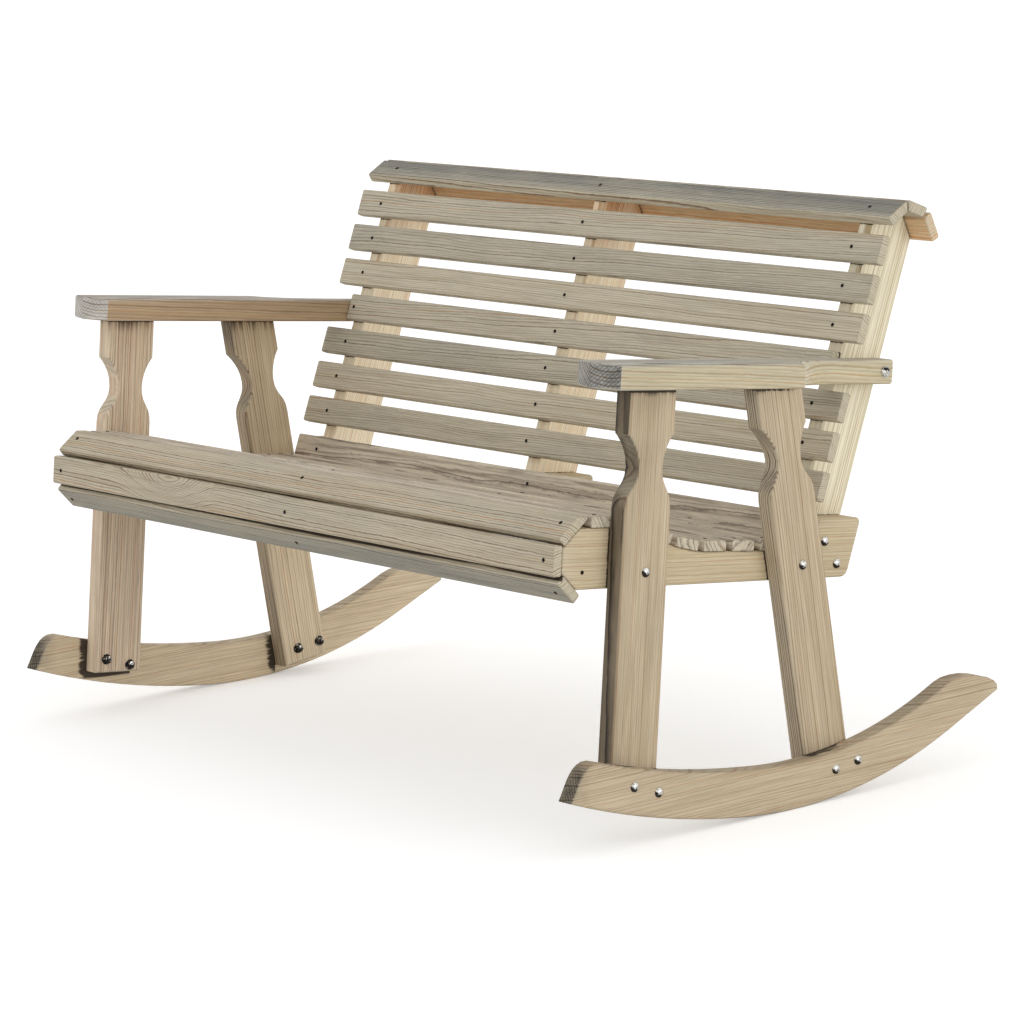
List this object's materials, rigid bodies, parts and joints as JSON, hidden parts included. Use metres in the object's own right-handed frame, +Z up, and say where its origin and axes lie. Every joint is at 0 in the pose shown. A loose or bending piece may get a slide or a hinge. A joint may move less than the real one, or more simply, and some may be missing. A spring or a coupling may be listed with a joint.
{
  "type": "rocking bench",
  "caption": "Slatted timber rocking bench with a dished seat rolled over its front, a raked back rolled over its top, flat arms, waisted board legs and long curved rockers.",
  "frame": {"origin": "centre of the bench's outline seen from above, on the floor it rests on", "axes": "+X along the seat, to the right of a person who faces the bench from the front; +Y towards the back rest; +Z up; the front faces -Y"},
  "size_m": [1.3472, 0.8214, 0.8313],
  "materials": {
    "timber_tan": "sawn and planed pine, unpainted, warm tan with straight grain",
    "timber_pale": "planed pine, unpainted, pale cream",
    "timber_grey": "planed pine, unpainted, weathered grey-tan with a green tinge",
    "bolt_zinc": "zinc-plated carriage bolts"
  },
  "bodies": {
    "root": {"arm_left": "timber_grey", "arm_right": "timber_grey", "back_slat_1": "timber_grey", "back_slat_2": "timber_grey", "back_slat_3": "timber_grey", "back_slat_4": "timber_grey", "back_slat_5": "timber_grey", "back_slat_6": "timber_grey", "back_slat_7": "timber_grey", "back_slat_foot": "timber_grey", "back_upright_centre": "timber_pale", "back_upright_left": "timber_pale", "back_upright_right": "timber_pale", "bolt_arm_left": "bolt_zinc", "bolt_arm_right": "bolt_zinc", "bolt_leg_front_left": "bolt_zinc", "bolt_leg_front_right": "bolt_zinc", "bolt_leg_rear_left": "bolt_zinc", "bolt_leg_rear_right": "bolt_zinc", "bolt_rocker_front_1_left": "bolt_zinc", "bolt_rocker_front_1_right": "bolt_zinc", "bolt_rocker_front_2_left": "bolt_zinc", "bolt_rocker_front_2_right": "bolt_zinc", "bolt_rocker_rear_1_left": "bolt_zinc", "bolt_rocker_rear_1_right": "bolt_zinc", "bolt_rocker_rear_2_left": "bolt_zinc", "bolt_rocker_rear_2_right": "bolt_zinc", "bolt_upright_1_centre": "bolt_zinc", "bolt_upright_1_left": "bolt_zinc", "bolt_upright_1_right": "bolt_zinc", "bolt_upright_2_centre": "bolt_zinc", "bolt_upright_2_left": "bolt_zinc", "bolt_upright_2_right": "bolt_zinc", "front_leg_left": "timber_tan", "front_leg_right": "timber_tan", "front_slat_lower": "timber_grey", "front_slat_middle": "timber_grey", "front_slat_upper": "timber_grey", "rear_leg_left": "timber_tan", "rear_leg_right": "timber_tan", "rocker_left": "timber_tan", "rocker_right": "timber_tan", "roll_slat_front": "timber_grey", "roll_slat_rear": "timber_grey", "roll_slat_top": "timber_grey", "seat_rail_centre": "timber_tan", "seat_rail_left": "timber_tan", "seat_rail_right": "timber_tan", "seat_slat_1": "timber_grey", "seat_slat_2": "timber_grey", "seat_slat_3": "timber_grey", "seat_slat_4": "timber_grey", "seat_slat_5": "timber_grey", "seat_slat_6": "timber_grey", "seat_slat_7": "timber_grey", "seat_slat_8": "timber_grey"}
  },
  "joints": []
}
